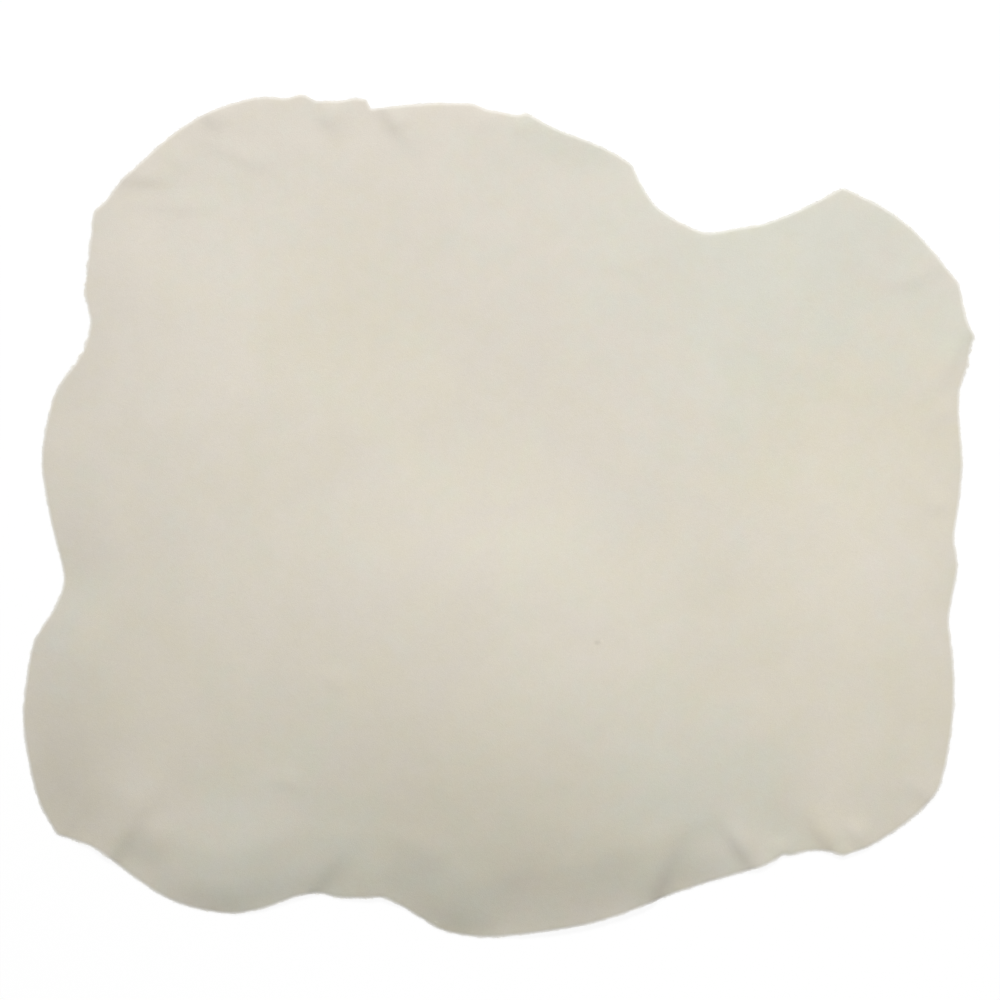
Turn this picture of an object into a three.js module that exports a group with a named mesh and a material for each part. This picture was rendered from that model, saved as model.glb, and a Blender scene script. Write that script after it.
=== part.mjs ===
// Chamois leather: one oil-tanned sheepskin split, cut to the skin's own outline and laid out flat.
// Millimetres, +Z up, X across the skin, Y up it, origin on the surface below the skin's middle.
import * as THREE from 'three';

// The skin
const SKIN_WIDTH = 617;
const SKIN_LENGTH = 546;
const SKIN_THICKNESS = 1;

// The swells: low, broad waves where the sheet stands off the surface, and their reach from top to foot,
// along and across their ridges
const SWELL_HEIGHT = 10;
const SWELL_REACH_ALONG = 480;
const SWELL_REACH_ACROSS = 240;

// The bend inside the rim, over which the sheet comes down to the surface
const EDGE_BEND = 42;

// The flutes: short folds that run in from the rim. Each leans towards the skin's lower end: its lower flank
// is as wide as the flute's width, and its upper flank that many times the share below.
const FLUTE_HEIGHT = 3;
const FLUTE_LENGTH = 50;
const FLUTE_WIDTH = 8;
const UPPER_FLANK_SHARE = 2.5;

// How far the sheet's own weight presses its lowest folds flat on the surface
const SEAT_DEPTH = 0.5;

// The outline, clockwise from the upper left corner, one row from each corner to the next.
// A place is a share of the width and a share of the length, from the middle of the skin.
const RIM_SHARES = [
  [[-0.425, 0.361], [-0.411, 0.377], [-0.397, 0.398], [-0.374, 0.422], [-0.345, 0.451], [-0.314, 0.474],
    [-0.284, 0.488], [-0.251, 0.497], [-0.224, 0.496], [-0.210, 0.500], [-0.201, 0.498]],
  [[-0.193, 0.492], [-0.164, 0.493], [-0.153, 0.496]],
  [[-0.139, 0.494]],
  [[-0.134, 0.483], [-0.102, 0.487], [-0.066, 0.490], [-0.028, 0.489], [-0.015, 0.483], [0.020, 0.476],
    [0.030, 0.477], [0.059, 0.460], [0.110, 0.437]],
  [[0.140, 0.417], [0.151, 0.390], [0.169, 0.364], [0.195, 0.346], [0.219, 0.336], [0.248, 0.341],
    [0.281, 0.348], [0.317, 0.364]],
  [[0.361, 0.390], [0.400, 0.368], [0.432, 0.343], [0.457, 0.313]],
  [[0.483, 0.275], [0.492, 0.231]],
  [[0.500, 0.214], [0.495, 0.196], [0.493, 0.179], [0.484, 0.148], [0.484, 0.109], [0.487, 0.061],
    [0.482, 0.005], [0.478, -0.027], [0.482, -0.059], [0.475, -0.104], [0.473, -0.128], [0.478, -0.182],
    [0.477, -0.241], [0.467, -0.307], [0.455, -0.336], [0.425, -0.367], [0.390, -0.392]],
  [[0.361, -0.403], [0.342, -0.398], [0.320, -0.399], [0.307, -0.403]],
  [[0.299, -0.402], [0.279, -0.415], [0.231, -0.431], [0.180, -0.450], [0.138, -0.469], [0.095, -0.484],
    [0.044, -0.494], [-0.011, -0.500], [-0.050, -0.495], [-0.070, -0.486], [-0.097, -0.467]],
  [[-0.119, -0.454], [-0.170, -0.453], [-0.188, -0.448], [-0.213, -0.452], [-0.242, -0.464],
    [-0.277, -0.472], [-0.314, -0.467], [-0.350, -0.453], [-0.389, -0.424], [-0.424, -0.395]],
  [[-0.464, -0.379], [-0.483, -0.340], [-0.495, -0.285], [-0.500, -0.239], [-0.496, -0.192],
    [-0.488, -0.147], [-0.468, -0.111], [-0.457, -0.078], [-0.461, -0.050], [-0.472, 0.002],
    [-0.480, 0.061], [-0.476, 0.105], [-0.465, 0.149], [-0.449, 0.175]],
  [[-0.442, 0.187], [-0.435, 0.202], [-0.429, 0.231], [-0.435, 0.265], [-0.431, 0.310]],
];

// Each swell: its top on the skin, its ridge's turn from +X in degrees, and its shares of the swells' sizes
const SWELL_SHARES = [
  { top: [-0.14, -0.20], turn: 0, along: 1.00, across: 1.00, height: 1.00 },
  { top: [0.03, -0.25], turn: -50, along: 0.45, across: 0.67, height: 0.85 },
  { top: [-0.36, 0.10], turn: 76, along: 0.36, across: 0.38, height: 0.25 },
  { top: [-0.27, 0.36], turn: 28, along: 0.31, across: 0.34, height: 0.10 },
  { top: [0.38, 0.04], turn: 96, along: 0.38, across: 0.42, height: 0.10 },
  { top: [0.34, 0.27], turn: -38, along: 0.28, across: 0.36, height: 0.10 },
];

// Each flute: its foot at the rim, its turn from +X in degrees, and its shares of the flutes' three sizes
const FLUTE_SHARES = [
  { foot: [-0.301, 0.473], turn: -66, length: 0.3, width: 0.7, height: 0.25 },
  { foot: [-0.182, 0.489], turn: -65, length: 0.6, width: 0.8, height: 0.40 },
  { foot: [-0.115, 0.481], turn: -55, length: 0.9, width: 0.8, height: 0.45 },
  { foot: [-0.390, 0.403], turn: 3, length: 1.0, width: 0.7, height: 0.15 },
  { foot: [0.469, 0.298], turn: 196, length: 1.1, width: 0.7, height: 0.12 },
  { foot: [0.476, 0.187], turn: 242, length: 0.9, width: 0.5, height: 0.20 },
  { foot: [0.460, -0.336], turn: 146, length: 0.6, width: 0.8, height: 0.30 },
  { foot: [0.352, -0.387], turn: 125, length: 0.9, width: 1.0, height: 0.55 },
  { foot: [0.269, -0.412], turn: 122, length: 0.9, width: 0.8, height: 0.70 },
  { foot: [0.157, -0.448], turn: 69, length: 1.0, width: 0.9, height: 1.00 },
  { foot: [0.036, -0.491], turn: 92, length: 0.8, width: 2.0, height: 0.60 },
  { foot: [-0.199, -0.439], turn: 50, length: 1.0, width: 0.9, height: 0.65 },
  { foot: [-0.409, -0.400], turn: 56, length: 1.5, width: 0.9, height: 0.75 },
];

// The sheet's mesh: steps to each span of the outline, then rings of steps at shares of the way out to it
const SPAN_STEPS = 2;
const RING_SHARES = [
  { share: 0.94, steps: 150 },
  { share: 0.87, steps: 110 },
  { share: 0.75, steps: 64 },
  { share: 0.58, steps: 36 },
  { share: 0.38, steps: 18 },
  { share: 0.18, steps: 8 },
];

// A place on the skin from its shares of the width and the length
function skinPlace([acrossShare, upShare]) {
  return new THREE.Vector2(acrossShare * SKIN_WIDTH, upShare * SKIN_LENGTH);
}

// The outline, with a spline from each corner to the next
function rimPath() {
  const path = new THREE.CurvePath();
  RIM_SHARES.forEach((stretch, index) => {
    const nextCorner = RIM_SHARES[(index + 1) % RIM_SHARES.length][0];
    path.add(new THREE.SplineCurve([...stretch, nextCorner].map(skinPlace)));
  });
  return path;
}

// A place as it lies along and across a ridge that starts or peaks elsewhere, with a turn from +X in degrees
function ridgePlace(place, origin, turn) {
  const angle = THREE.MathUtils.degToRad(turn);
  return place.clone().sub(skinPlace(origin)).rotateAround(new THREE.Vector2(), -angle);
}

// How high a wave stands at a share of the way from its top to its foot
function waveShare(wayShare) {
  return (1 + Math.cos(Math.PI * THREE.MathUtils.clamp(wayShare, 0, 1))) / 2;
}

// One swell's height at a place
function swellHeight(place, swell) {
  const run = ridgePlace(place, swell.top, swell.turn);
  const along = run.x / (SWELL_REACH_ALONG * swell.along);
  const across = run.y / (SWELL_REACH_ACROSS * swell.across);
  return SWELL_HEIGHT * swell.height * waveShare(Math.hypot(along, across));
}

// One flute's height at a place: full at the rim, fading along its length and away on both sides
function fluteHeight(place, flute) {
  const run = ridgePlace(place, flute.foot, flute.turn);
  const along = run.x / (FLUTE_LENGTH * flute.length);
  const onUpperFlank = run.y * Math.cos(THREE.MathUtils.degToRad(flute.turn)) > 0;
  const aside = run.y / (FLUTE_WIDTH * flute.width * (onUpperFlank ? UPPER_FLANK_SHARE : 1));
  return FLUTE_HEIGHT * flute.height * waveShare(along) * Math.exp(-aside * aside);
}

// The underside's height this far in from the rim, which is nothing where the sheet rests on the surface
function undersideHeight(place, inset) {
  const swells = SWELL_SHARES.reduce((sum, swell) => sum + swellHeight(place, swell), 0);
  const flutes = FLUTE_SHARES.reduce((sum, flute) => sum + fluteHeight(place, flute), 0);
  const bend = Math.sin((Math.PI / 2) * Math.min(inset / EDGE_BEND, 1));
  return Math.max(swells * bend + flutes - SEAT_DEPTH, 0);
}

// A point of the sheet: its underside's position, and how far round the rim it lies, from 0 to 1
function sheetPoint(rimPlace, share, lap) {
  const place = rimPlace.clone().multiplyScalar(share);
  const inset = rimPlace.length() * (1 - share);
  return { position: new THREE.Vector3(place.x, place.y, undersideHeight(place, inset)), lap };
}

// The points along the rim, with the same number of steps to each span of the outline
function rimRing(path) {
  const ring = [];
  const lengths = path.getCurveLengths();
  const total = lengths[lengths.length - 1];
  path.curves.forEach((curve, index) => {
    const steps = (curve.points.length - 1) * SPAN_STEPS;
    const travelled = index === 0 ? 0 : lengths[index - 1];
    const stretchLengths = curve.getLengths(steps);
    for (let step = 0; step < steps; step += 1) {
      const lap = (travelled + stretchLengths[step]) / total;
      ring.push(sheetPoint(curve.getPoint(step / steps), 1, lap));
    }
  });
  return ring;
}

// The points of one ring inside the rim
function innerRing(path, { share, steps }) {
  const laps = Array.from({ length: steps }, (_, step) => step / steps);
  return laps.map((lap) => sheetPoint(path.getPoint(lap), share, lap));
}

// Triangles between a ring and the next one inside it, stepping along whichever has the nearer next point
function stitchRings(outer, inner) {
  const triangles = [];
  const lapAfter = (ring, step) => (step + 1 < ring.length ? ring[step + 1].lap : 1);
  let outerStep = 0;
  let innerStep = 0;
  while (outerStep < outer.length || innerStep < inner.length) {
    const outerPoint = outer[outerStep % outer.length];
    const innerPoint = inner[innerStep % inner.length];
    const innerDone = innerStep === inner.length;
    const outerNext = outerStep < outer.length && lapAfter(outer, outerStep) <= lapAfter(inner, innerStep);
    if (innerDone || outerNext) {
      outerStep += 1;
      triangles.push([outerPoint, outer[outerStep % outer.length], innerPoint]);
    } else {
      innerStep += 1;
      triangles.push([outerPoint, inner[innerStep % inner.length], innerPoint]);
    }
  }
  return triangles;
}

// The whole skin: an underside, the same surface one thickness higher, and the cut edge between them
function skinGeometry() {
  const path = rimPath();
  const rim = rimRing(path);
  const rings = [rim, ...RING_SHARES.map((ring) => innerRing(path, ring))];
  const innermost = rings[rings.length - 1];
  const middle = sheetPoint(path.getPoint(0), 0, 0);
  const faces = rings.slice(1).flatMap((ring, index) => stitchRings(rings[index], ring));
  innermost.forEach((point, step) => faces.push([point, innermost[(step + 1) % innermost.length], middle]));

  const points = [...rings.flat(), middle];
  const order = new Map(points.map((point, index) => [point, index]));
  const lift = new THREE.Vector3(0, 0, SKIN_THICKNESS);
  const upper = points.map((point) => point.position.clone().add(lift));
  const geometry = new THREE.BufferGeometry();
  geometry.setFromPoints([...points.map((point) => point.position), ...upper]);

  const under = faces.map((face) => face.map((point) => order.get(point)));
  const over = under.map(([a, b, c]) => [a, c, b].map((index) => index + points.length));
  const edge = rim.flatMap((point, step) => {
    const here = order.get(point);
    const next = order.get(rim[(step + 1) % rim.length]);
    return [[here, here + points.length, next], [next, here + points.length, next + points.length]];
  });
  geometry.setIndex([...under, ...over, ...edge].flat());
  geometry.computeVertexNormals();
  return geometry;
}

const chamoisSuede = new THREE.MeshStandardMaterial({ color: 0xddd7c9, roughness: 0.95, metalness: 0 });
const chamoisSkin = new THREE.Mesh(skinGeometry(), chamoisSuede);
chamoisSkin.name = 'chamois_skin';

const chamois = new THREE.Group();
chamois.add(chamoisSkin);

export default chamois;
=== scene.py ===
# A chamois leather laid out on a pale floor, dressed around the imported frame.
# Metres and radians, +Z up, X across the skin, Y up it, origin on the surface below the skin's middle.
import math
import random

import bmesh
import bpy
from mathutils import Matrix, Vector, kdtree, noise


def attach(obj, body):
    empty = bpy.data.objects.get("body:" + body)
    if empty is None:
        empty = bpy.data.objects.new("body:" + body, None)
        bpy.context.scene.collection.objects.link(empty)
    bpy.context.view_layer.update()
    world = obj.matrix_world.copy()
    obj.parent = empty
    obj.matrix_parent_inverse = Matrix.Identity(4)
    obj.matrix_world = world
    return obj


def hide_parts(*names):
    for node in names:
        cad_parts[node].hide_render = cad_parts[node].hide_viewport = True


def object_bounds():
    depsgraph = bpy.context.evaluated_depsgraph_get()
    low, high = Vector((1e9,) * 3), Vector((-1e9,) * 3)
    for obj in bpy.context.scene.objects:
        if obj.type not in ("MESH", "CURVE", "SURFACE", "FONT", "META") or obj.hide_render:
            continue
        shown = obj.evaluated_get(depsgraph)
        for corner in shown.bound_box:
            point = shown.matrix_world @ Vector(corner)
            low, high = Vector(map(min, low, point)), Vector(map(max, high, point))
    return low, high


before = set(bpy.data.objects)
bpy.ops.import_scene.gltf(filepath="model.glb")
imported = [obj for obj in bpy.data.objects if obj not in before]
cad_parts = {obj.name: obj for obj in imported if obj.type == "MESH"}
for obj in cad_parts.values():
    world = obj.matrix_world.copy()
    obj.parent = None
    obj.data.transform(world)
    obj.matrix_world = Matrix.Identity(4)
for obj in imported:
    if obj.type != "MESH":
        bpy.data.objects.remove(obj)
cad_low, cad_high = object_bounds()


# The camera
# It looks straight down from well above, as the photograph does, and frames the skin at the same place.
PHOTO_PIXELS = 1000
SKIN_PIXELS = 952
SKIN_MIDDLE_PIXEL = Vector((498.9, 515.9))
CAMERA_HEIGHT = 3.0
CAMERA_REACH = 20.0
SENSOR_MM = 36.0

skin_size = (cad_high - cad_low).to_2d()
pixel_size = skin_size.x / SKIN_PIXELS


def photo_place(pixel):
    """Where a pixel of the photograph lies on the surface."""
    offset = (Vector(pixel) - SKIN_MIDDLE_PIXEL) * pixel_size
    return Vector((offset.x, -offset.y))


camera_data = bpy.data.cameras.new("camera")
camera_data.sensor_width = SENSOR_MM
camera_data.lens = SENSOR_MM * CAMERA_HEIGHT / (PHOTO_PIXELS * pixel_size)
camera_data.clip_end = CAMERA_REACH
camera = bpy.data.objects.new("camera", camera_data)
camera.location = photo_place((PHOTO_PIXELS / 2, PHOTO_PIXELS / 2)).to_3d()
camera.location.z = CAMERA_HEIGHT
bpy.context.scene.collection.objects.link(camera)
bpy.context.scene.camera = camera


# The skin's outline
# The hide was trimmed by hand to its own shape: shallow bays and lobes with a few sharp corners. The packed
# solid's rim gives its points, which are joined here by smooth curves and then roughened like a cut edge.
MERGE_DISTANCE = 1e-6
LEAST_UPWARD = 0.5
CORNER_ANGLE = math.radians(34)
RIM_STEP = 0.0011
SHORTEST_STEP_SHARE = 0.6
CORNER_PASSES = 2
CORNER_SOFTENING = 0.5
ROUGHNESS_DEPTH = 0.0005
ROUGHNESS_LENGTH = 0.006
RAGGED_DEPTH = 0.0016
RAGGED_LENGTH = 0.0032

# The one tight turn of the rim that is rounded, and no corner
ROUND_CORNER_PIXEL = (93, 213)
ROUND_CORNER_REACH = 0.006

# Each ragged stretch of the edge: the pixel at its middle, and how far it reaches either way
RAGGED_STRETCHES = [
    ((86, 280), 0.026),
    ((78, 352), 0.018),
    ((967, 357), 0.014),
]

# Each torn place: the pixel at its middle, how far it reaches, and how far the edge stands out there, or in
# where that is below 0
TORN_PLACES = [
    ((83, 296), 0.0030, 0.0010),
    ((76, 358), 0.0018, 0.0013),
    ((76, 364), 0.0026, -0.0012),
]


def wave_share(way):
    """How high a wave stands at a share of the way from its top to its foot."""
    return (1 + math.cos(math.pi * min(max(way, 0), 1))) / 2


def stretch_total(place, stretches):
    """What a list of stretches adds up to at a place: each is full at its middle and nil past its reach."""
    total = 0
    for pixel, reach, amount in stretches:
        total += amount * wave_share((place - photo_place(pixel)).length / reach)
    return total


def rim_points(node):
    """The rim of a sheet's upper face, as one closed run of points."""
    sheet = bmesh.new()
    sheet.from_mesh(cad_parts[node].data)
    bmesh.ops.remove_doubles(sheet, verts=sheet.verts, dist=MERGE_DISTANCE)
    others = [face for face in sheet.faces if face.normal.z < LEAST_UPWARD]
    bmesh.ops.delete(sheet, geom=others, context="FACES")
    first = next(edge for edge in sheet.edges if edge.is_boundary).link_loops[0]
    loop = first
    points = []
    while not points or loop != first:
        points.append(loop.vert.co.to_2d())
        loop = loop.link_loop_next
        while not loop.edge.is_boundary:
            loop = loop.link_loop_radial_next.link_loop_next
    sheet.free()
    return points


def smooth_outline(points):
    """A closed curve through the points, smooth but for its sharp corners, as a mesh of short edges."""
    curve = bpy.data.curves.new("outline", "CURVE")
    curve.dimensions = "2D"
    spline = curve.splines.new("BEZIER")
    spline.bezier_points.add(len(points) - 1)
    spline.use_cyclic_u = True
    for index, knot in enumerate(spline.bezier_points):
        place = points[index]
        arriving = place - points[index - 1]
        leaving = points[(index + 1) % len(points)] - place
        rounded = (place - photo_place(ROUND_CORNER_PIXEL)).length < ROUND_CORNER_REACH
        corner = arriving.angle(leaving) > CORNER_ANGLE and not rounded
        knot.co = place.to_3d()
        knot.handle_left_type = knot.handle_right_type = "VECTOR" if corner else "AUTO"
    longest = max((points[index] - points[index - 1]).length for index in range(len(points)))
    curve.resolution_u = math.ceil(longest / RIM_STEP)
    outline = bpy.data.objects.new("outline", curve)
    bpy.context.scene.collection.objects.link(outline)
    evaluated = outline.evaluated_get(bpy.context.evaluated_depsgraph_get())
    mesh = bpy.data.meshes.new_from_object(evaluated)
    bpy.data.objects.remove(outline)
    bpy.data.curves.remove(curve)
    return mesh


def raggedness(place):
    """From 0 on the clean cut to 1 in the middle of a torn stretch of the edge."""
    shares = [1 - (place - photo_place(pixel)).length / reach for pixel, reach in RAGGED_STRETCHES]
    return math.sqrt(max(0, *shares))


def edge_offset(place):
    """How far a hand-cut edge strays outwards from its smooth line at a place."""
    clean = noise.noise(place.to_3d() / ROUGHNESS_LENGTH) * ROUGHNESS_DEPTH
    ragged = noise.noise(place.to_3d() / RAGGED_LENGTH) * RAGGED_DEPTH * raggedness(place)
    return clean + ragged + stretch_total(place, TORN_PLACES)


flat_cut = bmesh.new()
flat_cut.from_mesh(smooth_outline(rim_points("chamois_skin")))
bmesh.ops.remove_doubles(flat_cut, verts=flat_cut.verts, dist=RIM_STEP * SHORTEST_STEP_SHARE)
for vert in flat_cut.verts:
    vert.co.z = 0
for count in range(CORNER_PASSES):
    bmesh.ops.smooth_vert(
        flat_cut, verts=flat_cut.verts, factor=CORNER_SOFTENING, use_axis_x=True, use_axis_y=True
    )
cut_face = bmesh.ops.contextual_create(flat_cut, geom=flat_cut.edges[:])["faces"][0]
if cut_face.normal.z < 0:
    cut_face.normal_flip()
cut_face.normal_update()

# The edge's points in order, each with the direction that points away from the skin
rim = []
rim_tree = kdtree.KDTree(len(cut_face.loops))
for loop in cut_face.loops:
    along = (loop.link_loop_next.vert.co - loop.link_loop_prev.vert.co).normalized()
    rim_tree.insert(loop.vert.co, len(rim))
    rim.append((loop.vert.co.to_2d(), Vector((along.y, -along.x))))
rim_tree.balance()
flat_area = cut_face.calc_area()


# The skin
# One oil-tanned sheepskin flesh split, about a millimetre thick, soft and even all over. It lies loose on the
# surface: low swells keep parts of it off the floor, and short flutes run in from the cut edge, where the
# tanned skin shrank unevenly as it dried. Its cut edge is thinner than the rest, pressed flat by the shears.
SKIN_THICKNESS = 0.001
MESH_STEP = 0.003
EDGE_THINNING = 0.5
SWELL_HEIGHT = 0.010
SWELL_REACH = Vector((0.480, 0.240))
EDGE_BEND = 0.042
EDGE_SOFTNESS = 0.0022
FLUTE_HEIGHT = 0.003
FLUTE_LENGTH = 0.050
FLUTE_WIDTH = 0.008
UPPER_FLANK_SHARE = 2.5
SEAT_DEPTH = 0.0005
SEAT_SOFTNESS = 0.0008
ROLL_DEPTH = 0.020
COCKLE_HEIGHT = 0.00035
COCKLE_LENGTH = 0.034
COCKLE_REACH = 0.030
UNDULATION_HEIGHT = 0.00022
UNDULATION_LENGTH = 0.085
CREASE_HEIGHT = 0.0005
CREASE_WIDTH = 0.0035

# Each ring inside the cut edge: its width, and how pale and thin the skin is where it ends, from 1 at the cut
EDGE_RINGS = [(0.0006, 0.8), (0.0006, 0.4), (0.0008, 0.0)]

# Each swell: its top as shares of the skin, its ridge's turn in degrees, and shares of the reach and height
SWELL_SHARES = [
    ((-0.14, -0.20), 0, (1.00, 1.00), 1.00),
    ((0.03, -0.25), -50, (0.45, 0.67), 0.85),
    ((-0.36, 0.10), 76, (0.36, 0.38), 0.25),
    ((-0.27, 0.36), 28, (0.31, 0.34), 0.10),
    ((0.38, 0.04), 96, (0.38, 0.42), 0.10),
    ((0.34, 0.27), -38, (0.28, 0.36), 0.10),
]

# Each flute: its foot at the rim as shares of the skin, its turn in degrees, and shares of the length, the
# width and the height
FLUTE_SHARES = [
    ((-0.301, 0.473), -66, 0.3, 0.7, 0.25),
    ((-0.182, 0.489), -65, 0.6, 0.8, 0.40),
    ((-0.115, 0.481), -55, 0.9, 0.8, 0.45),
    ((-0.390, 0.403), 3, 1.0, 0.7, 0.15),
    ((0.469, 0.298), 196, 1.1, 0.7, 0.12),
    ((0.476, 0.187), 242, 0.9, 0.5, 0.20),
    ((0.460, -0.336), 146, 0.6, 0.8, 0.30),
    ((0.352, -0.387), 125, 0.9, 1.0, 0.55),
    ((0.269, -0.412), 122, 0.9, 0.8, 0.70),
    ((0.157, -0.448), 69, 1.0, 0.9, 1.00),
    ((0.036, -0.491), 92, 0.8, 2.0, 0.60),
    ((-0.199, -0.439), 50, 1.0, 0.9, 0.65),
    ((-0.409, -0.400), 56, 1.5, 0.9, 0.75),
]

# Each rolled stretch of the edge: the pixel at its middle, how far it reaches, and how high the skin stands
ROLLED_STRETCHES = [
    ((230, 903), 0.075, 0.0026),
    ((455, 922), 0.045, 0.0024),
    ((650, 900), 0.050, 0.0008),
]

# Each lifted place near the edge: the pixel at its middle, how far it reaches, and how high it stands
LIFTED_STRETCHES = [
    ((375, 888), 0.036, 0.0020),
    ((585, 914), 0.045, 0.0018),
    ((712, 862), 0.024, 0.0010),
    ((152, 838), 0.020, 0.0010),
]

# Each crease: the pixels at the two ends of its crest, and its share of the creases' height
CREASES = [
    ((186, 134), (292, 178), 0.8),
    ((112, 206), (240, 208), 0.6),
    ((158, 146), (192, 176), 0.6),
    ((118, 178), (178, 182), 0.8),
    ((479, 108), (488, 136), 0.5),
    ((514, 114), (524, 140), 0.5),
    ((262, 92), (256, 136), 0.4),
    ((838, 854), (810, 820), 1.0),
    ((866, 854), (846, 816), 1.8),
    ((786, 862), (772, 836), 1.2),
    ((958, 506), (914, 508), 0.6),
    ((946, 390), (936, 440), 0.9),
    ((318, 668), (352, 696), 0.8),
    ((262, 776), (312, 788), 0.7),
    ((940, 276), (880, 290), 0.6),
    ((590, 266), (650, 270), 0.4),
    ((206, 108), (218, 130), 0.7),
    ((384, 110), (400, 136), 0.9),
    ((316, 106), (328, 132), 0.9),
    ((722, 816), (751, 868), 1.6),
]


def ridge_place(place, origin_share, turn):
    """A place as it lies along and across a ridge."""
    origin = Vector((origin_share[0] * skin_size.x, origin_share[1] * skin_size.y))
    return Matrix.Rotation(-math.radians(turn), 2) @ (place - origin)


def swell_height(place, top, turn, reach_shares, height):
    """A broad low swell: full at its top, and down to nothing at its reach along and across its ridge."""
    run = ridge_place(place, top, turn)
    way = Vector((run.x / (SWELL_REACH.x * reach_shares[0]), run.y / (SWELL_REACH.y * reach_shares[1])))
    return SWELL_HEIGHT * height * wave_share(way.length)


def flank_share(across, turn):
    """How wide the flank on one side of a fold is: folds lean towards the skin's lower end."""
    return UPPER_FLANK_SHARE if across * math.cos(turn) > 0 else 1


def flute_height(place, foot, turn, length, width, height):
    """A short fold that is full at its foot on the edge, and runs out towards the skin's middle."""
    run = ridge_place(place, foot, turn)
    aside = run.y / (FLUTE_WIDTH * width * flank_share(run.y, math.radians(turn)))
    return FLUTE_HEIGHT * height * wave_share(run.x / (FLUTE_LENGTH * length)) * math.exp(-aside * aside)


def crease_height(place, start_pixel, end_pixel, height):
    """A fine fold's height: full along its middle, fading to both ends and both sides."""
    start = photo_place(start_pixel)
    run = photo_place(end_pixel) - start
    way = (place - start).dot(run) / run.length_squared
    across = run.normalized().cross(place - start)
    aside = across / (CREASE_WIDTH * flank_share(across, math.atan2(run.y, run.x)))
    return CREASE_HEIGHT * height * wave_share(abs(2 * way - 1)) * math.exp(-aside * aside)


def roll_height(place, inset):
    """How much higher the skin stands behind a stretch of its edge that rolls down steeply."""
    return stretch_total(place, ROLLED_STRETCHES) * (1 - (1 - min(inset / ROLL_DEPTH, 1)) ** 2)


def unevenness(place, length, height):
    """Soft random rises of about a given length, up to a given height."""
    return (1 + noise.noise(place.to_3d() / length)) / 2 * height


def settled(height):
    """A height once the sheet's weight has pressed its lowest folds softly onto the surface."""
    pressed = height - SEAT_DEPTH
    lowest = math.hypot(SEAT_DEPTH, SEAT_SOFTNESS) - SEAT_DEPTH
    return (pressed + math.hypot(pressed, SEAT_SOFTNESS) - lowest) / 2


def underside_height(place):
    """How far the sheet's underside stands off the surface at a place."""
    inset = math.hypot(rim_tree.find(place.to_3d())[2], EDGE_SOFTNESS) - EDGE_SOFTNESS
    bend = math.sin(math.pi / 2 * min(inset / EDGE_BEND, 1))
    swells = sum(swell_height(place, *swell) for swell in SWELL_SHARES)
    flutes = sum(flute_height(place, *flute) for flute in FLUTE_SHARES)
    creases = sum(crease_height(place, *crease) for crease in CREASES)
    undulation = unevenness(place, UNDULATION_LENGTH, UNDULATION_HEIGHT)
    cockle = unevenness(place, COCKLE_LENGTH, COCKLE_HEIGHT) * wave_share(inset / COCKLE_REACH)
    lifted = stretch_total(place, LIFTED_STRETCHES)
    small_folds = flutes + creases + cockle + roll_height(place, inset) + lifted
    return (settled(swells) + undulation) * bend + small_folds


def slice_across(mesh, faces, direction, low, high):
    """Cuts the faces at every mesh step between two places along a direction, and returns all the pieces."""
    done = []
    ahead = faces
    for step in range(1, math.ceil((high - low) / MESH_STEP)):
        place = direction * (low + step * MESH_STEP)
        edges = {edge for face in ahead for edge in face.edges}
        verts = {vert for face in ahead for vert in face.verts}
        geom = [*ahead, *edges, *verts]
        cut = bmesh.ops.bisect_plane(mesh, geom=geom, dist=MERGE_DISTANCE, plane_co=place, plane_no=direction)
        pieces = [item for item in cut["geom"] if isinstance(item, bmesh.types.BMFace)]
        ahead = []
        for piece in pieces:
            beyond = (piece.calc_center_bounds() - place).dot(direction) > 0
            (ahead if beyond else done).append(piece)
    return done + ahead


# Rings inside the cut edge, then a grid over the rest
pale = flat_cut.verts.layers.float.new("pale_edge")
thickness = flat_cut.verts.layers.deform.verify()
for vert in flat_cut.verts:
    vert[pale] = 1
for width, share in EDGE_RINGS:
    bmesh.ops.inset_region(
        flat_cut, faces=[cut_face], thickness=width, use_boundary=True, use_even_offset=True
    )
    for vert in cut_face.verts:
        vert[pale] = share
strips = slice_across(flat_cut, [cut_face], Vector((1, 0, 0)), cad_low.x, cad_high.x)
slice_across(flat_cut, strips, Vector((0, 1, 0)), cad_low.y, cad_high.y)

# The flat sheet takes its folds, its rough edge and its thinner rim
for vert in flat_cut.verts:
    nearest, index = rim_tree.find(vert.co)[:2]
    vert.co.z = underside_height(vert.co.to_2d()) + SKIN_THICKNESS / 2
    vert.co.xy += rim[index][1] * edge_offset(nearest.to_2d()) * vert[pale]
    vert[thickness][0] = 1 - EDGE_THINNING * vert[pale]
for face in flat_cut.faces:
    face.smooth = True
for edge in flat_cut.edges:
    edge.smooth = not edge.is_boundary

skin_mesh = bpy.data.meshes.new("suede_sheet")
flat_cut.to_mesh(skin_mesh)
flat_cut.free()
suede_sheet = bpy.data.objects.new("suede_sheet", skin_mesh)
bpy.context.scene.collection.objects.link(suede_sheet)
suede_sheet.vertex_groups.new(name="thickness")
body = suede_sheet.modifiers.new("body", "SOLIDIFY")
body.thickness = SKIN_THICKNESS
body.offset = 0
body.vertex_group = "thickness"
body.thickness_vertex_group = 0
body.material_offset = 1
body.material_offset_rim = 2

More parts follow.
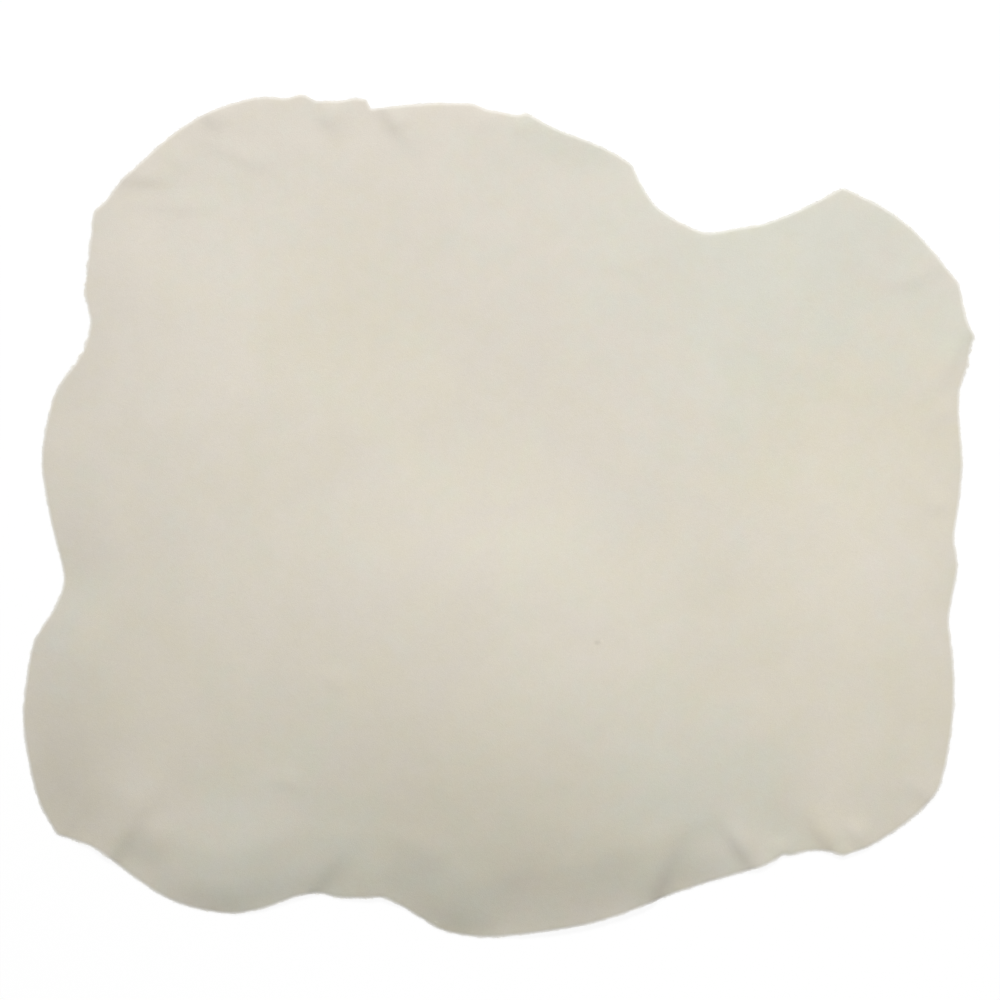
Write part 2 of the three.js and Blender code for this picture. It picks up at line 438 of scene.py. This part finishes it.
# Its finish is a soft matte suede. The cream is pinker in some parts and more olive in others, a little
# yellower towards its lower end, with faint blotches, and the very edge is paler where the cut opened the
# fibres. Painted shade darkens patches of it, most along its lower rim, and painted light brightens others.
# The pale edge is painted paler towards the lower end, where the lamp is dimmer. The underside's nap is
# longer, and lies across the skin.
PINKISH_CREAM = (0.730, 0.680, 0.598, 1)
OLIVE_CREAM = (0.700, 0.689, 0.606, 1)
YELLOWER = (1.0, 1.0, 0.925, 1)
YELLOW_AT_FOOT = 0.6
PALE_CUT = (0.97, 0.96, 0.925, 1)
# Painted light: the pale edge's share at the top, against 1 at the lower end, so the edge is painted paler
# where the lamp is dimmer
PALE_TOP_SHARE = 0.5
CUT_CREAM = (0.76, 0.73, 0.65, 1)
UNDERSIDE_CREAM = (0.71, 0.65, 0.54, 1)
UNDERSIDE_LIGHT = (0.77, 0.72, 0.62, 1)
SHEEN = 0.2
SHEEN_ROUGHNESS = 0.5
GLOSS = 0.2
NAP_STRENGTH = 0.5
UPPER_NAP_DEPTH = 0.00006
UNDERSIDE_NAP_DEPTH = 0.00025
CUT_NAP_DEPTH = 0.0001
NAP_LIE = Vector((0.35, 1.0, 1.0))
CUT_LIE = Vector((1.0, 1.0, 0.3))

# The patches' noise: its detail, its usual low and high, and its middle
PATCH_DETAIL = 2.0
NOISE_RANGE = (0.3, 0.7)
NOISE_MIDDLE = Vector((0.5, 0.5, 0.5))

# How the zones' outlines waver: how many times in a metre, how finely, and how far
WAVERS_PER_METRE = 14.0
WAVER_DETAIL = 3.0
ZONE_WAVER = 0.035

# Each pattern of patches: about how long they are, and the two values that they vary between
PALE_PATCHES = (0.002, 0.75, 1.0)
FINE_NAP = (0.0005, 0.0, 1.0)
COARSE_NAP = (0.0025, 0.0, 0.6)
UPPER_ROUGHNESS = (0.01, 0.88, 0.98)
LONG_NAP = (0.0009, 0.0, 0.6)
MATTED_NAP = (0.006, 0.0, 0.4)
UNDERSIDE_TONES = (0.05, 0.95, 1.03)
UNDERSIDE_ROUGHNESS = (0.01, 0.92, 1.0)
CUT_STRANDS = (0.0003, 0.0, 1.0)
CUT_ROUGHNESS = (0.004, 0.9, 1.0)

# Each scale of blotches: about how long they are, and how far they sway a tint or the tone either way
OLIVE_BLOTCHES = [(0.045, 0.20), (0.018, 0.20), (0.008, 0.18)]
YELLOW_BLOTCHES = [(0.033, 0.16), (0.013, 0.16), (0.006, 0.12)]
TONE_BLOTCHES = [(0.040, 0.008), (0.014, 0.007), (0.004, 0.006), (0.0011, 0.012), (0.0004, 0.02)]

# Each zone of a tint or tone: its middle's pixel, its reach in pixels across and down, and its strength
OLIVE_ZONES = [
    ((790, 250), (330, 210), 1.0),
    ((730, 400), (130, 120), 0.4),
    ((650, 490), (90, 90), 0.35),
    ((950, 330), (50, 60), 0.4),
    ((245, 220), (130, 140), 0.3),
    ((180, 270), (90, 70), -0.2),
    ((490, 195), (150, 140), 0.25),
    ((290, 835), (190, 150), 0.6),
    ((350, 870), (90, 60), 0.3),
    ((150, 870), (80, 60), 0.15),
    ((250, 745), (80, 90), 0.2),
    ((225, 885), (110, 60), 0.45),
    ((620, 170), (60, 50), 0.35),
    ((565, 130), (120, 55), 0.65),
    ((540, 870), (60, 50), 0.15),
    ((530, 915), (110, 40), 0.3),
    ((400, 885), (70, 40), 0.3),
    ((790, 838), (40, 35), 0.5),
    ((465, 870), (90, 120), 0.6),
    ((680, 800), (210, 170), 0.75),
    ((550, 775), (70, 60), -0.3),
    ((75, 610), (70, 130), 0.5),
    ((95, 750), (70, 90), -0.3),
    ((840, 830), (80, 80), -0.1),
]
YELLOW_ZONES = [
    ((860, 425), (210, 170), 0.55),
    ((350, 320), (150, 190), 0.5),
    ((260, 470), (110, 80), 0.25),
    ((480, 450), (150, 110), 0.2),
    ((750, 470), (80, 60), 0.3),
    ((340, 690), (110, 80), 0.28),
    ((900, 700), (120, 130), 0.3),
    ((640, 860), (110, 60), 0.3),
    ((840, 835), (90, 70), 0.2),
    ((545, 850), (80, 60), 0.2),
    ((580, 145), (70, 45), 0.25),
    ((440, 905), (60, 40), 0.3),
    ((600, 640), (110, 60), -0.28),
    ((660, 625), (80, 60), -0.2),
    ((450, 620), (80, 50), 0.25),
    ((255, 755), (80, 80), 0.25),
    ((50, 630), (60, 60), -0.3),
    ((720, 640), (220, 160), 0.3),
    ((130, 680), (170, 170), 0.25),
    ((470, 800), (190, 150), 0.4),
    ((260, 840), (90, 80), -0.2),
    ((700, 840), (110, 90), -0.2),
]
# Painted light and shade: zones painted lighter where the skin stands in more light, and darker where it
# stands in shade. They are darkest along its lower rim, where it rolls down away from the lamp. The last two
# are a small dark blemish that the skin has, and a pale speck beside it.
PAINTED_LIGHT_SHADE_AND_BLEMISH_ZONES = [
    ((215, 290), (200, 150), 0.055),
    ((130, 230), (70, 60), 0.025),
    ((230, 400), (170, 90), 0.020),
    ((400, 370), (130, 90), 0.025),
    ((690, 380), (110, 80), 0.020),
    ((850, 750), (110, 90), 0.022),
    ((60, 632), (45, 40), -0.040),
    ((55, 790), (60, 70), -0.040),
    ((760, 700), (80, 50), 0.030),
    ((480, 610), (170, 90), -0.025),
    ((530, 150), (90, 60), -0.025),
    ((700, 250), (90, 60), -0.020),
    ((860, 570), (190, 260), 0.055),
    ((860, 250), (110, 90), -0.035),
    ((70, 720), (90, 140), -0.045),
    ((300, 875), (135, 68), -0.080),
    ((540, 880), (200, 70), -0.085),
    ((420, 890), (90, 60), -0.055),
    ((645, 865), (75, 55), -0.055),
    ((400, 810), (220, 50), -0.020),
    ((465, 550), (140, 60), 0.012),
    ((395, 465), (70, 60), 0.010),
    ((300, 370), (130, 70), 0.015),
    ((60, 480), (50, 110), 0.025),
    ((585, 145), (70, 45), -0.035),
    ((460, 908), (60, 40), -0.045),
    ((280, 260), (90, 80), 0.010),
    ((650, 750), (90, 80), 0.012),
    ((620, 520), (70, 60), -0.010),
    ((710, 585), (80, 60), -0.010),
    ((597, 642), (5, 3.5), -0.12),
    ((602, 640), (3, 3), 0.05),
]


def add_node(tree, kind, inputs, **settings):
    """Adds a node with its settings, and gives each input a value or another node's output."""
    node = tree.nodes.new(kind)
    for name, value in settings.items():
        setattr(node, name, value)
    for name, value in inputs.items():
        if isinstance(value, bpy.types.NodeSocket):
            tree.links.new(value, node.inputs[name])
        else:
            node.inputs[name].default_value = value
    return node


def reckon(tree, operation, first, second):
    """One number made from two."""
    return add_node(tree, "ShaderNodeMath", {0: first, 1: second}, operation=operation).outputs[0]


def reckon_place(tree, operation, first, second):
    """One place made from two."""
    return add_node(tree, "ShaderNodeVectorMath", {0: first, 1: second}, operation=operation).outputs[0]


def blend(tree, share, first, second, blend_type="MIX"):
    """One colour made from two."""
    inputs = {0: share, 6: first, 7: second}
    return add_node(tree, "ShaderNodeMix", inputs, data_type="RGBA", blend_type=blend_type).outputs[2]


def carry_over(tree, value, old_range, new_range, easing="LINEAR"):
    """A value carried over from one range to another."""
    inputs = {0: value, 1: old_range[0], 2: old_range[1], 3: new_range[0], 4: new_range[1]}
    return add_node(tree, "ShaderNodeMapRange", inputs, interpolation_type=easing).outputs[0]


def patches(tree, place, length, low, high):
    """Soft irregular patches of about a given length, between a low and a high value."""
    noise_inputs = {"Vector": place, "Scale": 1 / length, "Detail": PATCH_DETAIL}
    pattern = add_node(tree, "ShaderNodeTexNoise", noise_inputs).outputs[0]
    return carry_over(tree, pattern, NOISE_RANGE, (low, high), "SMOOTHSTEP")


def blotched(tree, place, start, blotches):
    """A value that sways either way from its start in patches of several scales."""
    total = start
    for length, sway in blotches:
        total = reckon(tree, "ADD", total, patches(tree, place, length, -sway, sway))
    return total


def zoned(tree, place, start, zone_list):
    """A value that rises or falls softly from its start in each zone."""
    total = start
    for pixel, reach, strength in zone_list:
        offset = reckon_place(tree, "SUBTRACT", place, photo_place(pixel).to_3d())
        scale = Vector((1 / reach[0], 1 / reach[1], 0)) / pixel_size
        scaled = reckon_place(tree, "MULTIPLY", offset, scale)
        way = add_node(tree, "ShaderNodeVectorMath", {0: scaled}, operation="LENGTH").outputs[1]
        rise = carry_over(tree, way, (0.0, 1.0), (strength, 0.0), "SMOOTHSTEP")
        total = reckon(tree, "ADD", total, rise)
    return total


def wavering(tree, place):
    """The place on the skin, swayed a little, so that the outlines of its zones waver."""
    noise_inputs = {"Vector": place, "Scale": WAVERS_PER_METRE, "Detail": WAVER_DETAIL}
    waver = add_node(tree, "ShaderNodeTexNoise", noise_inputs).outputs[1]
    inputs = {0: reckon_place(tree, "SUBTRACT", waver, NOISE_MIDDLE), "Scale": ZONE_WAVER}
    sway = add_node(tree, "ShaderNodeVectorMath", inputs, operation="SCALE").outputs[0]
    return reckon_place(tree, "ADD", place, sway)


def empty_finish(name):
    """A new finish without nodes, and the place on the piece that its patterns read."""
    material = bpy.data.materials.new(name)
    material.use_nodes = True
    material.node_tree.nodes.clear()
    place = add_node(material.node_tree, "ShaderNodeTexCoord", {}).outputs["Object"]
    return material, material.node_tree, place


def suede(tree, colour, roughness, height, depth):
    """A matte napped leather with a faint sheen, and a nap that stands up by the given depth."""
    bump = add_node(tree, "ShaderNodeBump", {"Height": height, "Distance": depth, "Strength": NAP_STRENGTH})
    inputs = {
        "Base Color": colour,
        "Roughness": roughness,
        "Normal": bump.outputs[0],
        "Specular IOR Level": GLOSS,
        "Sheen Weight": SHEEN,
        "Sheen Roughness": SHEEN_ROUGHNESS,
    }
    return add_node(tree, "ShaderNodeBsdfPrincipled", inputs).outputs[0]


def smooth_upper_suede():
    """The upper face: cream with olive and yellow zones, painted light and shade, blotches and a fine nap,
    and paler at its edge, with painted light making that edge paler towards the lower end.
    """
    material, tree, place = empty_finish("smooth_upper_suede")
    zone_place = wavering(tree, place)
    up_the_skin = add_node(tree, "ShaderNodeSeparateXYZ", {0: zone_place}).outputs[1]
    top_to_foot = (cad_high.y, cad_low.y)
    olive = blotched(tree, place, zoned(tree, zone_place, 0.0, OLIVE_ZONES), OLIVE_BLOTCHES)
    downward = carry_over(tree, up_the_skin, top_to_foot, (0.0, YELLOW_AT_FOOT))
    yellow = blotched(tree, place, zoned(tree, zone_place, downward, YELLOW_ZONES), YELLOW_BLOTCHES)
    # Painted light and shade from the zones, with random blotches of tone on top
    painted_light_and_tone = blotched(tree, place, zoned(tree, place, 1.0, PAINTED_LIGHT_SHADE_AND_BLEMISH_ZONES), TONE_BLOTCHES)
    cream = blend(tree, olive, PINKISH_CREAM, OLIVE_CREAM)
    cream = blend(tree, yellow, cream, YELLOWER, "MULTIPLY")
    cream = blend(tree, 1.0, cream, painted_light_and_tone, "MULTIPLY")
    edge_share = add_node(tree, "ShaderNodeAttribute", {}, attribute_name="pale_edge").outputs["Fac"]
    paleness = reckon(tree, "MULTIPLY", edge_share, patches(tree, place, *PALE_PATCHES))
    # Painted light: the pale edge grows paler towards the lower end, where the lamp is dimmer
    rim_painted_light_downward = carry_over(tree, up_the_skin, top_to_foot, (PALE_TOP_SHARE, 1.0))
    cream = blend(tree, reckon(tree, "MULTIPLY", paleness, rim_painted_light_downward), cream, PALE_CUT)
    nap = reckon(tree, "ADD", patches(tree, place, *FINE_NAP), patches(tree, place, *COARSE_NAP))
    surface = suede(tree, cream, patches(tree, place, *UPPER_ROUGHNESS), nap, UPPER_NAP_DEPTH)
    add_node(tree, "ShaderNodeOutputMaterial", {"Surface": surface})
    return material


def napped_underside():
    """The underside: darker cream between the lighter tips of a longer nap that lies across the skin."""
    material, tree, place = empty_finish("napped_underside")
    lying = reckon_place(tree, "MULTIPLY", place, NAP_LIE)
    nap = reckon(tree, "ADD", patches(tree, lying, *LONG_NAP), patches(tree, place, *MATTED_NAP))
    cream = blend(tree, nap, UNDERSIDE_CREAM, UNDERSIDE_LIGHT)
    cream = blend(tree, 1.0, cream, patches(tree, place, *UNDERSIDE_TONES), "MULTIPLY")
    surface = suede(tree, cream, patches(tree, place, *UNDERSIDE_ROUGHNESS), nap, UNDERSIDE_NAP_DEPTH)
    add_node(tree, "ShaderNodeOutputMaterial", {"Surface": surface})
    return material


def open_cut_edge():
    """The cut through the skin's thickness, where the ends of its fibres show."""
    material, tree, place = empty_finish("open_cut_edge")
    lying = reckon_place(tree, "MULTIPLY", place, CUT_LIE)
    strands = patches(tree, lying, *CUT_STRANDS)
    cream = blend(tree, strands, CUT_CREAM, PALE_CUT)
    surface = suede(tree, cream, patches(tree, place, *CUT_ROUGHNESS), strands, CUT_NAP_DEPTH)
    add_node(tree, "ShaderNodeOutputMaterial", {"Surface": surface})
    return material


for material in (smooth_upper_suede(), napped_underside(), open_cut_edge()):
    skin_mesh.materials.append(material)


# The open edge's fibres
# Shears leave a chamois with an open, fuzzy edge: loose ends of its own fibres that stand out from the cut in
# small tufts, short all round, and longer and matted together where the edge has torn.
FIBRE_SEED = 5
TUFT_COUNT = 6200
RAGGED_TUFT_COUNT = 200
TUFT_LENGTHS = (0.0006, 0.0019)
RAGGED_TUFT_LENGTHS = (0.0008, 0.0022)
TUFT_ROOT_DEPTH = 0.0003
ROOT_LEVEL_SHARES = (0.45, 0.75)
TURN_SPREAD = 0.5
RISE_SPREAD = 0.15
MOST_ROLL = 0.3
FIBRE_SPREAD = math.radians(24)
FIBRE_SIDES = 3

# A fibre's shape, as shares of its tuft's length: its thinness, where its tip starts to taper and how thin it
# is there, and how flat it lies
FIBRE_THINNESS = 0.05
TAPER_START_SHARE = 0.5
TAPER_SHARE = 0.7
FIBRE_FLATNESS = 0.4

# Each tuft's fibres: how far each one reaches, and how far its tip bends aside, as shares of the tuft's
# length
TUFT_SHARES = [
    [(0.7, 0.3), (1.0, -0.1), (0.6, 0.2)],
    [(0.9, -0.2), (0.6, 0.4), (1.0, 0.0)],
    [(0.5, 0.1), (0.8, 0.5), (0.9, -0.3)],
]


def tuft_mesh(fibres):
    """A few tapered fibres about one unit long, spreading from one root along X."""
    tuft = bmesh.new()
    upright = Matrix.Rotation(math.pi / 2, 4, "Y") @ Matrix.Translation((0, 0, TAPER_START_SHARE / 2))
    for index, (reach, bend) in enumerate(fibres):
        lean = Matrix.Rotation(FIBRE_SPREAD * (index - 1), 4, "Z")
        cone = bmesh.ops.create_cone(
            tuft,
            cap_ends=True,
            segments=FIBRE_SIDES,
            radius1=FIBRE_THINNESS,
            radius2=FIBRE_THINNESS * TAPER_SHARE,
            depth=TAPER_START_SHARE,
            matrix=lean @ Matrix.Scale(reach, 4) @ upright,
        )
        faces = [face for vert in cone["verts"] for face in vert.link_faces]
        far_cap = max(faces, key=lambda face: face.calc_center_median().length)
        tip = bmesh.ops.poke(tuft, faces=[far_cap])["verts"][0]
        tip.co = lean @ Vector((reach, bend, 0))
    mesh = bpy.data.meshes.new("tuft")
    tuft.to_mesh(mesh)
    tuft.free()
    return mesh


chance = random.Random(FIBRE_SEED)
tuft_shapes = [tuft_mesh(fibres) for fibres in TUFT_SHARES]
ragged_rim = [item for item in rim if raggedness(item[0]) > 0]
fringe = bmesh.new()
single = bpy.data.meshes.new("single_tuft")
roots = [(chance.choice(rim), TUFT_LENGTHS) for count in range(TUFT_COUNT)]
roots += [(chance.choice(ragged_rim), RAGGED_TUFT_LENGTHS) for count in range(RAGGED_TUFT_COUNT)]
for (place, outward), lengths in roots:
    length = chance.uniform(*lengths)
    tuft = bmesh.new()
    tuft.from_mesh(chance.choice(tuft_shapes))
    turn = math.atan2(outward.y, outward.x) + chance.gauss(0, TURN_SPREAD)
    aside = Vector((-outward.y, outward.x)) * chance.uniform(-RIM_STEP, RIM_STEP) / 2
    root = place + aside + outward * (edge_offset(place) - TUFT_ROOT_DEPTH)
    level = underside_height(place) + SKIN_THICKNESS * chance.uniform(*ROOT_LEVEL_SHARES)
    # No fibre leans so far down that it would reach the surface
    rise = max(chance.gauss(0, RISE_SPREAD), -level / (2 * length))
    place_on_edge = (
        Matrix.Translation((root.x, root.y, level))
        @ Matrix.Rotation(turn, 4, "Z")
        @ Matrix.Rotation(-rise, 4, "Y")
        @ Matrix.Rotation(chance.uniform(-MOST_ROLL, MOST_ROLL), 4, "X")
        @ Matrix.Diagonal((length, length, length * FIBRE_FLATNESS, 1))
    )
    bmesh.ops.transform(tuft, matrix=place_on_edge, verts=tuft.verts)
    tuft.to_mesh(single)
    tuft.free()
    fringe.from_mesh(single)
fringe_mesh = bpy.data.meshes.new("edge_fibres")
fringe.to_mesh(fringe_mesh)
fringe.free()
edge_fibres = bpy.data.objects.new("edge_fibres", fringe_mesh)
bpy.context.scene.collection.objects.link(edge_fibres)

# A loose fibre is nearly white, and so thin that light comes through it
DARKER_FIBRE = (0.92, 0.91, 0.86, 1)
LIGHTER_FIBRE = (0.97, 0.96, 0.94, 1)
FIBRE_TONES = (0.004, 0.0, 1.0)
FIBRE_STRANDS = (0.0002, 0.0, 1.0)
FIBRE_ROUGHNESS = (0.002, 0.85, 0.95)
FIBRE_NAP_DEPTH = 0.00002
FIBRE_TRANSLUCENCY = 0.6


def loose_fibre():
    """The fibres that stand out of the edge."""
    material, tree, place = empty_finish("loose_fibre")
    cream = blend(tree, patches(tree, place, *FIBRE_TONES), DARKER_FIBRE, LIGHTER_FIBRE)
    strands = patches(tree, place, *FIBRE_STRANDS)
    lit = suede(tree, cream, patches(tree, place, *FIBRE_ROUGHNESS), strands, FIBRE_NAP_DEPTH)
    let_through = add_node(tree, "ShaderNodeBsdfTranslucent", {"Color": cream}).outputs[0]
    inputs = {0: FIBRE_TRANSLUCENCY, 1: lit, 2: let_through}
    surface = add_node(tree, "ShaderNodeMixShader", inputs).outputs[0]
    add_node(tree, "ShaderNodeOutputMaterial", {"Surface": surface})
    return material


fringe_mesh.materials.append(loose_fibre())

for piece in (suede_sheet, edge_fibres):
    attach(piece, "root")
    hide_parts("chamois_skin")


# The floor and the light
# A plain white floor keeps the skin's faint shadow. One large soft lamp stands beyond the skin's far edge,
# aimed a little to the right of its middle, so that the near half is dimmer, and an even fill from all round
# softens it.
FLOOR_SIZE = 40
FLOOR_WHITE = (0.8, 0.8, 0.8, 1)
FLOOR_GLOW = 0.935
FLOOR_SHADOW_GREY = (0.08, 0.08, 0.08, 1)
WHITE = (1, 1, 1, 1)
FILL_STRENGTH = 0.22
LAMP_PLACE = Vector((0.05, 2.3, 2.35))
LAMP_AIM = Vector((0.25, -0.11, 0))
LAMP_SIZE = 0.6
LAMP_SPREAD = 1.78
LAMP_POWER = 32.2


def seen_share(tree):
    """1 for rays from the camera, a reflection or a clear piece, and 0 for the light that falls on things."""
    rays = add_node(tree, "ShaderNodeLightPath", {})
    seen = reckon(tree, "ADD", rays.outputs["Is Camera Ray"], rays.outputs["Is Glossy Ray"])
    seen = reckon(tree, "ADD", seen, rays.outputs["Is Transmission Ray"])
    return reckon(tree, "MINIMUM", seen, 1.0)


def white_floor():
    """Plain pale grey under the light, and seen as an even white with a faint shadow."""
    material, tree, _ = empty_finish("white_floor")
    lit = add_node(tree, "ShaderNodeBsdfDiffuse", {"Color": FLOOR_WHITE}).outputs[0]
    shadowed = add_node(tree, "ShaderNodeBsdfDiffuse", {"Color": FLOOR_SHADOW_GREY}).outputs[0]
    glow = add_node(tree, "ShaderNodeEmission", {"Strength": FLOOR_GLOW}).outputs[0]
    shown = add_node(tree, "ShaderNodeAddShader", {0: shadowed, 1: glow}).outputs[0]
    surface = add_node(tree, "ShaderNodeMixShader", {0: seen_share(tree), 1: lit, 2: shown}).outputs[0]
    add_node(tree, "ShaderNodeOutputMaterial", {"Surface": surface})
    return material


floor_shape = bmesh.new()
bmesh.ops.create_grid(floor_shape, x_segments=1, y_segments=1, size=FLOOR_SIZE / 2)
floor_mesh = bpy.data.meshes.new("floor")
floor_shape.to_mesh(floor_mesh)
floor_shape.free()
floor_mesh.materials.append(white_floor())
floor = bpy.data.objects.new("floor", floor_mesh)
bpy.context.scene.collection.objects.link(floor)

world = bpy.data.worlds.new("surroundings")
bpy.context.scene.world = world
world.use_nodes = True
tree = world.node_tree
tree.nodes.clear()
strength = carry_over(tree, seen_share(tree), (0.0, 1.0), (FILL_STRENGTH, 1.0))
background = add_node(tree, "ShaderNodeBackground", {"Color": WHITE, "Strength": strength}).outputs[0]
add_node(tree, "ShaderNodeOutputWorld", {"Surface": background})

lamp_data = bpy.data.lights.new("soft_lamp", "AREA")
lamp_data.energy = LAMP_POWER
lamp_data.shape = "DISK"
lamp_data.size = LAMP_SIZE
lamp_data.spread = LAMP_SPREAD
lamp = bpy.data.objects.new("soft_lamp", lamp_data)
lamp.location = LAMP_PLACE
lamp.rotation_euler = (LAMP_PLACE - LAMP_AIM).to_track_quat("Z", "Y").to_euler()
bpy.context.scene.collection.objects.link(lamp)
bpy.context.scene.view_settings.view_transform = "Standard"
